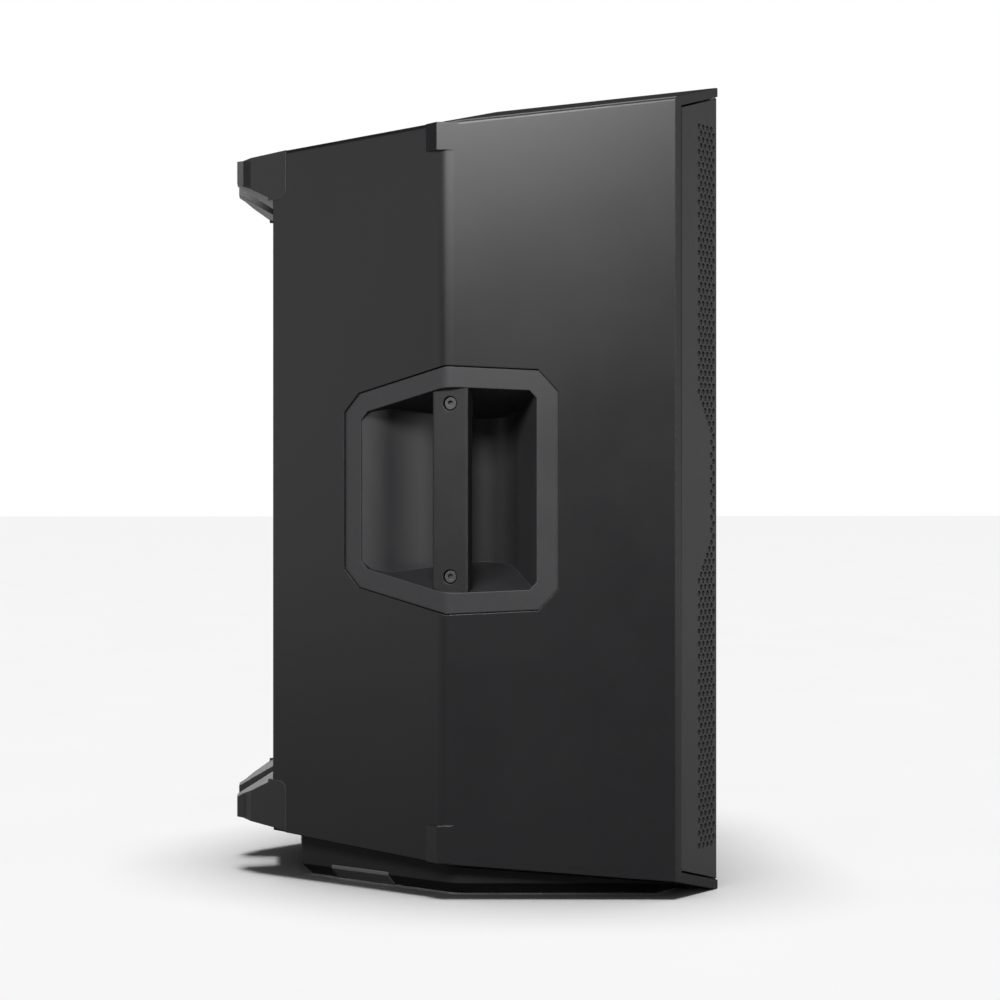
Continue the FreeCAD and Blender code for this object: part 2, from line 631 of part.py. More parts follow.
def make_amplifier():
    half = amp_w / 2
    front = panel_y
    panel = box(-half, half, front - amp_t, front, amp_z0, amp_z1)
    for x in (-jack_x, jack_x):
        panel = panel.cut(rod(12.0, 10, (x, front + 1, input_z), (0, -1, 0)))
        panel = panel.cut(box(x - 4.6, x + 4.6, front - 5, front + 1, input_z + 9, input_z + 14.6))
        panel = panel.cut(rod(3.55, 10, (x * knob_x / jack_x, front + 1, control_z), (0, -1, 0)))
        panel = panel.cut(rod(4.3, 10, (x * knob_x / jack_x, front + 1, output_z), (0, -1, 0)))
    panel = panel.cut(rod(12.0, 10, (0, front + 1, output_z), (0, -1, 0)))
    panel = panel.cut(rod(4.05, 10, (0, front + 1, control_z), (0, -1, 0)))
    panel = panel.cut(box(-30, 30, front - 5, front + 1, 488, 520))
    panel = panel.cut(box(-44, -16, front - 5, front + 1, power_z - 10.5, power_z + 10.5))
    panel = panel.cut(box(19, 43, front - 5, front + 1, power_z - 8, power_z + 8))
    save("amplifier_panel", panel)

    for name, x in (("a", -jack_x), ("b", jack_x)):
        jack = socket_shell(x, input_z, 11.9, 27)
        jack = jack.cut(rod(9.4, 12, (x, front + 2, input_z), (0, -1, 0)))
        jack = jack.cut(rod(3.25, 24, (x, front + 2, input_z), (0, -1, 0)))
        slot = box(x - 4.3, x + 4.3, front - 4, front + 3, input_z + 10.2, input_z + 14.3)
        save("input_jack_" + name, jack.cut(slot))
        latch = box(x - 4, x + 4, front - 1.5, front + 4, input_z + 10.5, input_z + 14.0)
        save("input_latch_" + name, latch)
        pot_x = x * knob_x / jack_x
        knob = rod(9, 13, (pot_x, front + 2, control_z), (0, 1, 0))
        knob = knob.makeFillet(1.2, [knob.Edges[i] for i in range(len(knob.Edges))
                                     if abs(knob.Edges[i].CenterOfMass.y - front - 15) < 0.1])
        knob = knob.cut(box(pot_x - 0.6, pot_x + 0.6, front + 14, front + 16, control_z + 2, control_z + 10))
        save("level_knob_" + name, knob.fuse(rod(3.0, 16, (pot_x, front + 4, control_z), (0, -1, 0))))
    pots = []
    for x in (-knob_x, knob_x):
        bushing = tube(3.5, 3.05, 12, (x, front + 1, control_z), (0, -1, 0))
        case = box(x - 8, x + 8, front - 13, front - 5, control_z - 8, control_z + 8)
        pots.append(bushing.fuse(case.cut(rod(3.05, 30, (x, front, control_z), (0, -1, 0)))))
    case = box(-8, 8, front - 14, front - 5, control_z - 8, control_z + 8)
    bushing = tube(4.0, 3.05, 12, (0, front + 1, control_z), (0, -1, 0))
    pots.append(bushing.fuse(case.cut(rod(3.05, 30, (0, front, control_z), (0, -1, 0)))))
    save("control_pots", Part.makeCompound(pots))
    save("menu_shaft", rod(3.0, 23, (0, front + 10, control_z), (0, -1, 0)))
    dial = rod(12, 16, (0, front + 2.5, control_z), (0, 1, 0))
    save("menu_knob", dial.cut(rod(3.05, 7.7, (0, front + 2.4, control_z), (0, 1, 0))))

    output = socket_shell(0, output_z, 11.9, 27)
    output = output.cut(rod(10.2, 14, (0, front + 2, output_z), (0, -1, 0)))
    for i in range(3):
        a = math.radians(90 + 120 * i)
        foot = (3.4 * math.cos(a), front - 12.5, output_z + 3.4 * math.sin(a))
        output = output.fuse(rod(1.2, 13, foot, (0, 1, 0)))
    save("output_jack", output)
    for name, x in (("lift", -knob_x), ("link", knob_x)):
        button = rod(4.0, 12, (x, front - 8, output_z), (0, 1, 0))
        save(name + "_button", button.fuse(rod(5.2, 1.2, (x, front - 6, output_z), (0, 1, 0))))
    display = box(-31.5, 31.5, front, front + 1.5, 486.5, 521.5)
    save("display_window", display.fuse(box(-29.5, 29.5, front - 6, front, 488.5, 519.5)))
    lenses = [rod(1.8, 2.2, (x, front, 474), (0, 1, 0)) for x in (-36, -12, 12, 36)]
    save("indicator_lenses", Part.makeCompound(lenses))

    inlet = box(-48, -12, front, front + 2, power_z - 14, power_z + 14)
    inlet = inlet.fuse(box(-43.5, -16.5, front - 24, front, power_z - 10, power_z + 10))
    inlet = inlet.cut(box(-42, -18, front - 14, front + 3, power_z - 8, power_z + 8))
    for x, z in ((-37, -1.5), (-23, -1.5), (-30, 2.5)):
        inlet = inlet.fuse(box(x - 1, x + 1, front - 15, front - 1, power_z + z - 2, power_z + z + 2))
    save("mains_inlet", inlet)
    bezel = box(16, 46, front, front + 2, power_z - 11, power_z + 11)
    bezel = bezel.fuse(box(19.2, 42.8, front - 16, front, power_z - 7.8, power_z + 7.8))
    save("switch_bezel", bezel.cut(box(21, 41, front - 14, front + 3, power_z - 6, power_z + 6)))
    rocker = [(front - 5, power_z - 3.6), (front + 1.5, power_z - 3.8), (front + 0.2, power_z),
              (front + 3.5, power_z + 3.8), (front - 5, power_z + 3.6)]
    rocker = polygon_face([(21.4, y, z) for y, z in rocker]).extrude(V(19.2, 0, 0))
    save("power_rocker", rocker.fuse(rod(1.5, 19.9, (21.05, front - 3, power_z), (1, 0, 0))))

    sink = box(-52, 52, front, front + 5, 218, 318)
    for i in range(13):
        x = -50 + i * 100 / 12
        sink = sink.fuse(box(x - 1.2, x + 1.2, front + 5, front + 22, 218, 318))
    save("heat_sink", sink)
    board_y = front - 36
    save("amplifier_board", box(-58, 58, board_y - 1.6, board_y, 175, 535))
    post_length = front - amp_t - board_y
    posts = [rod(3, post_length, (x, board_y, z), (0, 1, 0)) for x in (-54, 54) for z in (180, 360, 530)]
    save("board_posts", Part.makeCompound(posts))
    cans = [rod(12, 34, (x, board_y - 1.6, z), (0, -1, 0)) for x in (-40, -12) for z in (250, 280)]
    save("capacitors", Part.makeCompound(cans))
    core = box(0, 50, board_y - 41.6, board_y - 1.6, 190, 235)
    save("transformer", core.makeFillet(3, core.Edges))
    screws = []
    for x in (-half + 4, half - 4):
        for z in (amp_z0 + 4, 291, 419, amp_z1 - 4):
            screws.append(rod(3.2, 2.0, (x, front, z), (0, 1, 0)))
    save("panel_screws", Part.makeCompound(screws))


def base_form(inset, z0, chamfer):
    block = box(-230, 230, front_y + inset, base_rear_y + base_inset - inset, z0, 80)
    for point, out in ((side_front, side_out), (side_crease, facet_out), (side_front, wing_out)):
        tool = half_space((point[0] - inset * out[0], point[1] - inset * out[1], 0), (out[0], out[1], 0))
        block = block.cut(tool).cut(mirror_x(tool))
    block = block.makeFillet(crease_r, crease_edges(block, inset))
    low = [e for e in block.Edges if abs(e.BoundBox.ZMax - z0) < 0.01]
    return block.makeChamfer(chamfer, low)


def make_base():
    cabinet = cabinet_block(0)
    base = base_form(base_inset, foot_gap, bevel_h).cut(cabinet)
    proud = base_form(base_inset - 1.2, 0.0, bevel_h).cut(cabinet)
    rear_s, front_s = foot_s
    strip = [panel_point(rear_s), panel_point(front_s), panel_point(front_s, 55), panel_point(rear_s, 55)]
    foot = proud.common(plan_prism(strip, 0, foot_h))
    pad = box(95, 145, -150, -125, 0, 3.0)
    feet = [foot, mirror_x(foot), pad, mirror_x(pad)]
    for solid in feet:
        base = base.cut(solid)
    base = base.cut(rod(socket_r + 4, 100, (0, socket_y, -1), (0, 0, 1)))
    save("base_plinth", base.removeSplitter())
    save("rubber_feet", Part.makeCompound(feet))
    socket = tube(socket_r + 4, socket_r, socket_depth, (0, socket_y, foot_gap), (0, 0, 1))
    cover = rod(socket_r + 4, 4, (0, socket_y, foot_gap + socket_depth), (0, 0, 1))
    save("pole_socket", socket.fuse(cover))


def make_cabinet():
    shell = cabinet_shell()
    save("cabinet_shell", shell)
    for place, up in (("top", 1), ("bottom", -1)):
        bumper = corner_bumper(up)
        save("bumper_%s_right" % place, bumper)
        save("bumper_%s_left" % place, mirror_x(bumper))
    inserts = []
    for x, y, z in rigging_points:
        insert = rod(rig_boss_r, 24, (x, y, z), (0, 0, -1))
        inserts.append(insert.cut(rod(rig_thread_r, 18, (x, y, z), (0, 0, -1))))
    save("rigging_inserts", Part.makeCompound(inserts))
    return shell


cabinet = make_cabinet()
make_front()
make_woofer()
make_horn()
make_ports()
make_handles(cabinet)
make_amplifier()
make_base()
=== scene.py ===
import json
import math

import bpy
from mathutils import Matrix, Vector

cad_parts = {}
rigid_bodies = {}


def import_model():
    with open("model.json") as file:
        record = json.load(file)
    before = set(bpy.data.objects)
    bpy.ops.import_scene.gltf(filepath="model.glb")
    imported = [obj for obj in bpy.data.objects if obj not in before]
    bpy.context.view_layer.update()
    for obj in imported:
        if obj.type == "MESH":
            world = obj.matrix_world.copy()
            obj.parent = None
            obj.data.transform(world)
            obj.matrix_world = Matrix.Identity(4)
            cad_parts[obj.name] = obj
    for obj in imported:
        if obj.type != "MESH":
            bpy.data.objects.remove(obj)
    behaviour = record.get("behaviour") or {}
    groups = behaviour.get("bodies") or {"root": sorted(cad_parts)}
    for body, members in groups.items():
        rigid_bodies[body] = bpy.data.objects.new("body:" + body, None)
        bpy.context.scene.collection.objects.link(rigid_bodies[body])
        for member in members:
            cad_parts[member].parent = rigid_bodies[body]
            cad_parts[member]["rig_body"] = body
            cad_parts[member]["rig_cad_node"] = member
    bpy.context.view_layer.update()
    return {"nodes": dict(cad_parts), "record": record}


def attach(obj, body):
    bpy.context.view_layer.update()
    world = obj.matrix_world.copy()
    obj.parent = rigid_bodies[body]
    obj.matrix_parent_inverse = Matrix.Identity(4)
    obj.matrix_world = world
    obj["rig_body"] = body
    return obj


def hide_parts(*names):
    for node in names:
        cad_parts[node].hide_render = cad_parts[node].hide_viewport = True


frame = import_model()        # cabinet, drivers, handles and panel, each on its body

nodes = frame["nodes"]
mm = 0.001
mergeDistance = 0.02 * mm
print("frame loaded:", len(nodes), "nodes")


# small helpers

def linear(hexColour):
    parts = [int(hexColour[i:i + 2], 16) / 255 for i in (1, 3, 5)]
    return [c / 12.92 if c <= 0.04045 else ((c + 0.055) / 1.055) ** 2.4 for c in parts] + [1.0]


def addNode(tree, kind, settings=None, links=None):
    node = tree.nodes.new(kind)
    for key, value in (settings or {}).items():
        if isinstance(key, str) and hasattr(node, key):
            setattr(node, key, value)
        else:
            node.inputs[key].default_value = value
    for key, source in (links or {}).items():
        tree.links.new(source, node.inputs[key])
    return node


def selectOnly(piece):
    bpy.ops.object.select_all(action="DESELECT")
    piece.select_set(True)
    bpy.context.view_layer.objects.active = piece


def applyModifier(piece, name, kind, settings):
    selectOnly(piece)
    modifier = piece.modifiers.new(name, kind)
    for key, value in settings.items():
        setattr(modifier, key, value)
    bpy.ops.object.modifier_apply(modifier=modifier.name)


def mergedCopy(nodeName, pieceName):
    piece = nodes[nodeName].copy()
    piece.data = nodes[nodeName].data.copy()
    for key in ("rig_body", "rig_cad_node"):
        del piece[key]
    piece.parent = None
    piece.name = pieceName
    piece.data.name = pieceName
    bpy.context.scene.collection.objects.link(piece)
    selectOnly(piece)
    bpy.ops.object.mode_set(mode="EDIT")
    bpy.ops.mesh.select_all(action="SELECT")
    bpy.ops.mesh.remove_doubles(threshold=mergeDistance)
    bpy.ops.mesh.customdata_custom_splitnormals_clear()
    bpy.ops.object.mode_set(mode="OBJECT")
    return piece


def giveFinish(piece, slotName):
    # gives a new piece its finish, and fixes it to the cabinet
    piece.data.materials.clear()
    piece.data.materials.append(materials[slotName])
    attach(piece, "cabinet")


def keepSide(piece, point, normal):
    # cuts the piece by a plane, keeps what the normal points away from, and closes the cut
    selectOnly(piece)
    bpy.ops.object.mode_set(mode="EDIT")
    bpy.ops.mesh.select_all(action="SELECT")
    bpy.ops.mesh.bisect(plane_co=point, plane_no=normal, use_fill=True, clear_outer=True)
    bpy.ops.object.mode_set(mode="OBJECT")


# finishes

def startMaterial(name):
    material = bpy.data.materials.new(name)
    material.use_nodes = True
    tree = material.node_tree
    tree.nodes.clear()
    place = addNode(tree, "ShaderNodeTexCoord").outputs["Object"]
    return material, tree, place


def addNoise(tree, place, sizeMm, **settings):
    noise = addNode(tree, "ShaderNodeTexNoise", {"Scale": 1 / (sizeMm * mm), **settings}, {"Vector": place})
    return noise.outputs[0]


def blendColours(tree, share, look):
    # the look's dark colour where the share is 0, its light one where it is 1
    colours = {"data_type": "RGBA", 6: linear(look["dark"]), 7: linear(look["light"])}
    return addNode(tree, "ShaderNodeMix", colours, {0: share}).outputs[2]


def spread(tree, value, low, high, fromLow=0.0, fromHigh=1.0):
    limits = {"From Min": fromLow, "From Max": fromHigh, "To Min": low, "To Max": high}
    return addNode(tree, "ShaderNodeMapRange", limits, {"Value": value}).outputs[0]


def finishMaterial(tree, settings, links):
    shader = addNode(tree, "ShaderNodeBsdfPrincipled", settings, links)
    addNode(tree, "ShaderNodeOutputMaterial", None, {"Surface": shader.outputs[0]})


def edgeMask(tree, radiusMm):
    # rounded normal, and how far it leaves the flat one: 0 on faces, up to 1 along edges
    rounded = addNode(tree, "ShaderNodeBevel", {"samples": 4, "Radius": radiusMm * mm}).outputs[0]
    flat = addNode(tree, "ShaderNodeNewGeometry").outputs["True Normal"]
    dot = addNode(tree, "ShaderNodeVectorMath", {"operation": "DOT_PRODUCT"}, {0: rounded, 1: flat})
    return rounded, spread(tree, dot.outputs["Value"], 0.0, 1.0, 0.995, 0.80)


def grainedSurface(name, look):
    # moulded plastic, rubber and powder coat: cloudy colour, fine grain, worn edges
    material, tree, place = startMaterial(name)
    grainSize = look["grainMm"] * mm
    cloud = addNoise(tree, place, look["cloudMm"], Detail=4.0, Roughness=0.6)
    grain = addNoise(tree, place, look["grainMm"], Detail=3.0, Roughness=0.7)
    pits = addNode(tree, "ShaderNodeTexVoronoi", {"Scale": 0.6 / grainSize, "feature": "SMOOTH_F1"},
                   {"Vector": place}).outputs[0]
    rounded, worn = edgeMask(tree, look["edgeMm"])
    speck = spread(tree, grain, 0.78, 1.2, 0.35, 0.7)
    specked = addNode(tree, "ShaderNodeVectorMath", {"operation": "SCALE"},
                      {0: blendColours(tree, cloud, look), "Scale": speck}).outputs[0]
    wearShare = addNode(tree, "ShaderNodeMath", {"operation": "MULTIPLY", 1: look["wear"]},
                        {0: worn}).outputs[0]
    colour = addNode(tree, "ShaderNodeMix", {"data_type": "RGBA", 7: linear(look["edge"])},
                     {0: wearShare, 6: specked}).outputs[2]
    smooth = spread(tree, cloud, *look["roughness"], 0.3, 0.7)
    height = addNode(tree, "ShaderNodeMath", {"operation": "ADD"}, {0: grain, 1: pits}).outputs[0]
    relief = addNode(tree, "ShaderNodeBump", {"Strength": look["relief"], "Distance": grainSize * 0.2},
                     {"Height": height, "Normal": rounded}).outputs[0]
    finishMaterial(tree, {"IOR": look["ior"], "Metallic": 0.0, "Specular IOR Level": look["shine"]},
                   {"Base Color": colour, "Roughness": smooth, "Normal": relief})
    return material


def bareMetal(name, look):
    # plated, turned or anodised metal: streaks along one axis, and tarnish in clouds
    material, tree, place = startMaterial(name)
    stretched = addNode(tree, "ShaderNodeMapping", {"Scale": look["streak"]}, {"Vector": place}).outputs[0]
    streaks = addNoise(tree, stretched, look["lineMm"], Detail=3.0)
    cloud = addNoise(tree, place, look["cloudMm"], Detail=4.0)
    smooth = spread(tree, streaks, *look["roughness"], 0.25, 0.75)
    rounded = edgeMask(tree, look["edgeMm"])[0]
    relief = addNode(tree, "ShaderNodeBump", {"Strength": 0.15, "Distance": 0.05 * mm},
                     {"Height": streaks, "Normal": rounded}).outputs[0]
    finishMaterial(tree, {"Metallic": 1.0},
                   {"Base Color": blendColours(tree, cloud, look), "Roughness": smooth, "Normal": relief})
    return material


def pressedPulp(name, look):
    # paper cone: short fibres felted together, so a soft matt surface with fine crossed lines
    material, tree, place = startMaterial(name)
    fibre = addNoise(tree, place, look["fibreMm"], Detail=5.0, Distortion=2.5)
    smooth = spread(tree, fibre, 0.75, 0.95)
    relief = addNode(tree, "ShaderNodeBump", {"Strength": 0.5, "Distance": 0.2 * mm},
                     {"Height": fibre}).outputs[0]
    finishMaterial(tree, {"IOR": 1.5, "Sheen Weight": 0.15},
                   {"Base Color": blendColours(tree, fibre, look), "Roughness": smooth, "Normal": relief})
    return material


def openCells(name, look):
    # reticulated foam: round cells with thin walls, so black pits between dark grey webs
    material, tree, place = startMaterial(name)
    cells = addNode(tree, "ShaderNodeTexVoronoi",
                    {"Scale": 1 / (look["cellMm"] * mm), "feature": "DISTANCE_TO_EDGE"},
                    {"Vector": place}).outputs[0]
    webs = spread(tree, cells, 1.0, 0.0, 0.0, 0.2)
    smooth = spread(tree, webs, 1.0, 0.85)
    relief = addNode(tree, "ShaderNodeBump", {"Strength": 0.8, "Distance": 0.6 * mm},
                     {"Height": webs}).outputs[0]
    finishMaterial(tree, {"IOR": 1.45},
                   {"Base Color": blendColours(tree, webs, look), "Roughness": smooth, "Normal": relief})
    return material


def clearMoulding(name, look):
    # smoked window and tinted lenses: glossy face with a faint haze of fine wipe marks
    material, tree, place = startMaterial(name)
    haze = addNoise(tree, place, look["hazeMm"], Detail=5.0, Distortion=1.0)
    finishMaterial(tree, {"IOR": 1.49, "Coat Weight": 0.5, "Coat Roughness": 0.05},
                   {"Base Color": blendColours(tree, haze, look),
                    "Roughness": spread(tree, haze, *look["roughness"])})
    return material


def solderMask(name, look):
    # circuit board: green resist over copper runs that show as paler lines
    material, tree, place = startMaterial(name)
    runs = addNode(tree, "ShaderNodeTexBrick", {"Scale": 1 / (look["runMm"] * mm), "Mortar Size": 0.12,
                                                "Color1": linear(look["dark"]), "Color2": linear(look["mid"]),
                                                "Mortar": linear(look["light"])}, {"Vector": place})
    smooth = spread(tree, runs.outputs[1], 0.45, 0.25)
    relief = addNode(tree, "ShaderNodeBump", {"Strength": 0.3, "Distance": 0.05 * mm},
                     {"Height": runs.outputs[1]}).outputs[0]
    finishMaterial(tree, {"IOR": 1.5},
                   {"Base Color": runs.outputs[0], "Roughness": smooth, "Normal": relief})
    return material


def plasticLook(dark, light, edge, **changes):
    # the values that most of the moulded parts share, with a part's own ones over them
    look = {"dark": dark, "light": light, "edge": edge, "cloudMm": 90, "grainMm": 1.1, "edgeMm": 1.2,
            "roughness": (0.46, 0.54), "relief": 0.12, "wear": 0.35, "ior": 1.49, "shine": 0.2}
    look.update(changes)
    return look


def metalLook(dark, light, **changes):
    look = {"dark": dark, "light": light, "lineMm": 0.8, "cloudMm": 25, "roughness": (0.25, 0.4),
            "streak": (1.0, 0.1, 1.0), "edgeMm": 0.4}
    look.update(changes)
    return look


finishes = {
    # polypropylene moulded in a spark-eroded tool: satin black, the grain drawn at 1.1 mm so that it shows
    "cabinet_plastic": ("mouldedPolypropylene", grainedSurface,
                        plasticLook("#040405", "#060607", "#141416", roughness=(0.31, 0.34), relief=0.05,
                                    shine=0.15)),
    # the handle pocket's finer grain catches the light as a softer, slightly greyer black
    "handle_plastic": ("mouldedPocketPlastic", grainedSurface,
                       plasticLook("#121213", "#161617", "#2c2c2e", grainMm=0.9, roughness=(0.40, 0.48),
                                   shine=0.12)),
    # glass-filled nylon of the grip: polished by hands, so smoother than the rest
    "grip_plastic": ("mouldedNylonGrip", grainedSurface,
                     plasticLook("#090909", "#0c0c0d", "#222224", grainMm=0.9, roughness=(0.38, 0.46),
                                 wear=0.5, shine=0.12)),
    # tough corner plastic: scuffed edges a shade lighter than its faces
    "bumper_plastic": ("mouldedCornerPlastic", grainedSurface,
                       plasticLook("#080809", "#0b0b0c", "#2e2e30", roughness=(0.38, 0.46), wear=0.6,
                                   shine=0.15)),
    # base moulding with a coarser grain, which looks duller and darker
    "base_plastic": ("coarseGrainPolypropylene", grainedSurface,
                     plasticLook("#040404", "#060606", "#121213", grainMm=1.6, roughness=(0.5, 0.6),
                                 relief=0.3, shine=0.1)),
    # powder coated steel sheet: satin black with a slight orange peel 2 mm across
    "grille_steel": ("powderCoatedSteelSheet", grainedSurface,
                     plasticLook("#0f0f10", "#131314", "#28282a", grainMm=2.0, edgeMm=0.3,
                                 roughness=(0.38, 0.46), wear=0.4)),
    # open cell polyurethane foam, black: nothing but a dark web behind the holes
    "foam": ("openCellFoam", openCells, {"dark": "#060606", "light": "#151515", "cellMm": 1.3}),
    # moulded rubber feet: deep matt black with dusty edges
    "foot_rubber": ("mouldedRubber", grainedSurface,
                    plasticLook("#161616", "#1c1c1c", "#303030", roughness=(0.7, 0.82), wear=0.5, shine=0.3)),
    # black oxide screws and stamped baskets: dark with a slight gloss
    "black_steel": ("blackOxideSteel", grainedSurface,
                    plasticLook("#1b1b1c", "#222223", "#5a5a5c", grainMm=0.6, edgeMm=0.4,
                                roughness=(0.3, 0.45), relief=0.1, wear=0.7)),
    # coated cloth surround and gasket: soft black with a rubbery sheen
    "gasket_rubber": ("coatedClothRubber", grainedSurface,
                      plasticLook("#151515", "#1b1b1b", "#262626", grainMm=0.7, roughness=(0.55, 0.7))),
    # paper pulp pressed on a screen: felted fibres about 2 mm long
    "cone_paper": ("pressedPaperPulp", pressedPulp, {"dark": "#171717", "light": "#262626", "fibreMm": 2.0}),
    # zinc plate: bright grey with a faint cloudy bloom
    "plated_steel": ("zincPlatedSteel", bareMetal, metalLook("#9c9ea0", "#b9bbbd", roughness=(0.3, 0.45))),
    # sintered ferrite: dull dark grey, finely granular
    "ferrite": ("sinteredFerrite", grainedSurface,
                plasticLook("#2c2c2e", "#38383a", "#505052", grainMm=0.5, roughness=(0.6, 0.75), ior=2.4)),
    # rolled aluminium former and diaphragm: pale and finely lined
    "coil_aluminium": ("rolledAluminium", bareMetal, metalLook("#b8babc", "#d0d2d4", lineMm=0.4)),
    # ABS horn: even satin black, a little smoother than the cabinet
    "horn_plastic": ("mouldedAbs", grainedSurface,
                     plasticLook("#1f1f20", "#252526", "#333334", roughness=(0.38, 0.48), relief=0.15)),
    # powder coated amplifier panel: fine texture paint, even dark grey
    "panel_steel": ("texturedPowderCoat", grainedSurface,
                    plasticLook("#252627", "#2a2b2c", "#47484a", grainMm=0.8, edgeMm=0.5,
                                roughness=(0.45, 0.55), relief=0.4)),
    # black anodised extrusion: die lines run along the fins
    "heat_sink_aluminium": ("blackAnodisedAluminium", bareMetal,
                            metalLook("#3a3b3d", "#47484a", streak=(1.0, 1.0, 0.05), roughness=(0.35, 0.5))),
    # glass-filled nylon connectors: smooth black with a soft gloss
    "connector_plastic": ("glassFilledNylon", grainedSurface,
                          plasticLook("#18181a", "#1e1e20", "#3a3a3c", grainMm=0.5, edgeMm=0.4,
                                      roughness=(0.3, 0.42), relief=0.1)),
    # soft-touch knob rubber: velvety matt with no hard highlight
    "knob_rubber": ("softTouchRubber", grainedSurface,
                    plasticLook("#1f1f21", "#262628", "#3c3c3e", grainMm=0.5, edgeMm=0.5,
                                roughness=(0.6, 0.72), relief=0.15, shine=0.35)),
    # turned steel shaft: bright rings round its axis
    "shaft_steel": ("turnedSteel", bareMetal,
                    metalLook("#a6a8aa", "#c6c8ca", streak=(0.1, 1.0, 0.1), lineMm=0.3)),
    # smoked acrylic display window: near black, with clear reflections
    "display_glass": ("smokedAcrylic", clearMoulding,
                      {"dark": "#0a0b0d", "light": "#121418", "hazeMm": 6.0, "roughness": (0.05, 0.14)}),
    # tinted polycarbonate lenses: small glossy green beads
    "lens_plastic": ("tintedPolycarbonate", clearMoulding,
                     {"dark": "#4e8a56", "light": "#6ba873", "hazeMm": 2.0, "roughness": (0.1, 0.2)}),
    # solder mask: glossy green over copper runs 3 mm apart
    "board_resin": ("solderMaskedGlassFibre", solderMask,
                    {"dark": "#123a20", "mid": "#16452a", "light": "#2b6a3d", "runMm": 12.0}),
    # sleeved capacitor cans: dark blue shrink film with a soft shine
    "can_aluminium": ("shrinkSleevedCan", grainedSurface,
                      plasticLook("#1b1d33", "#22253e", "#3c3f5a", grainMm=1.5, roughness=(0.25, 0.35),
                                  relief=0.08)),
    # varnished laminations: brown-black, lined by the sheet edges
    "transformer_steel": ("varnishedLaminations", grainedSurface,
                          plasticLook("#2e2a20", "#3a3528", "#5c5644", grainMm=0.6, roughness=(0.35, 0.5))),
}

materials = {}
for slotName, (materialName, make, look) in finishes.items():
    materials[slotName] = make(materialName, look)
for row in frame["record"]["subparts"]:
    node = nodes[row["node"]]
    node.data.materials.clear()
    node.data.materials.append(materials[row["material_slot"]])
print("materials made:", len(materials))


# perforated grille: the folded sheet, with its staggered holes punched through

grille = {
    "holeMm": 4.9, "holeSides": 12, "punchMm": 8.0, "pitchMm": 6.3, "rowMm": 5.456,
    "lowRowMm": 41.0, "rowCount": 115,
    "wingStart": (-221.0, -164.0), "fold": (-176.5, -210.0),
    "firstHoleMm": 37.0, "wingColumns": 5, "foldMarginMm": 2.5, "edgeMarginMm": 4.0,
    # heights where the plain margin of the wing starts to widen, is widest, narrows again and ends
    "waist": (267.0, 300.0, 402.0, 437.0), "waistRows": 6,
    # the front is punched in three bands, parted above these rows, so that no piece grows too heavy
    "bandRows": (38, 76), "aboveTopMm": 800.0,
}


def punches(name, columns, firstMm, oddShiftMm):
    # closed pins in the plane of the sheet: x along the row, z up, on a triangular pitch
    rowPairs = (grille["rowCount"] + 1) // 2
    pins = []
    for shift, lift in ((0.0, 0.0), (oddShiftMm, grille["rowMm"])):
        bpy.ops.object.select_all(action="DESELECT")
        bpy.ops.mesh.primitive_cylinder_add(
            vertices=grille["holeSides"], radius=grille["holeMm"] / 2 * mm, depth=grille["punchMm"] * mm,
            rotation=(math.pi / 2, 0, 0),
            location=((firstMm + shift) * mm, 0, (grille["lowRowMm"] + lift) * mm))
        pins.append(bpy.context.active_object)
    bpy.ops.object.select_all(action="DESELECT")
    for pin in pins:
        pin.select_set(True)
    bpy.context.view_layer.objects.active = pins[0]
    bpy.ops.object.join()
    field = bpy.context.active_object
    field.name = name
    bpy.ops.object.transform_apply(location=True, rotation=True, scale=True)
    for axis, count, step in ((0, columns, grille["pitchMm"]), (2, rowPairs, 2 * grille["rowMm"])):
        offset = [0.0, 0.0, 0.0]
        offset[axis] = step * mm
        applyModifier(field, "repeat", "ARRAY", {
            "count": count, "use_relative_offset": False,
            "use_constant_offset": True, "constant_offset_displace": offset})
    return field


def waistLimit(z):
    # how far along the wing the holes begin at this height, in millimetres
    low0, low1, high0, high1 = grille["waist"]
    inward = grille["waistRows"] * grille["pitchMm"] / 2
    if z < low0 or z > high1:
        share = 0.0
    elif z < low1:
        share = (z - low0) / (low1 - low0)
    elif z > high0:
        share = (high1 - z) / (high1 - high0)
    else:
        share = 1.0
    return grille["firstHoleMm"] - grille["pitchMm"] / 2 + share * inward


def dropPunches(field, unwanted):
    # deletes the whole pins whose middle the test refuses
    mesh = field.data
    perPin = 2 * grille["holeSides"]
    selectOnly(field)
    bpy.ops.object.mode_set(mode="EDIT")
    bpy.ops.mesh.select_mode(type="VERT")
    bpy.ops.mesh.select_all(action="DESELECT")
    bpy.ops.object.mode_set(mode="OBJECT")
    for start in range(0, len(mesh.vertices), perPin):
        pin = mesh.vertices[start:start + perPin]
        middle = sum((v.co for v in pin), Vector()) / perPin
        if unwanted(middle.x / mm, middle.z / mm):
            for v in pin:
                v.select = True
    bpy.ops.object.mode_set(mode="EDIT")
    bpy.ops.mesh.delete(type="VERT")
    bpy.ops.object.mode_set(mode="OBJECT")


def punched(sheet, field):
    applyModifier(sheet, "holes", "BOOLEAN",
                  {"operation": "DIFFERENCE", "solver": "MANIFOLD", "object": field})
    bpy.data.objects.remove(field)
    giveFinish(sheet, "grille_steel")


foldX = -grille["fold"][0] - grille["foldMarginMm"]
topRow = grille["lowRowMm"] + grille["rowMm"] * (grille["rowCount"] - 1)
aboveTopRow = topRow + 1.0
wingAcross, wingForward = (end - start for start, end in zip(grille["wingStart"], grille["fold"]))
wingEnd = math.hypot(wingAcross, wingForward) - grille["edgeMarginMm"]
wingTurn = math.atan2(wingForward, wingAcross)

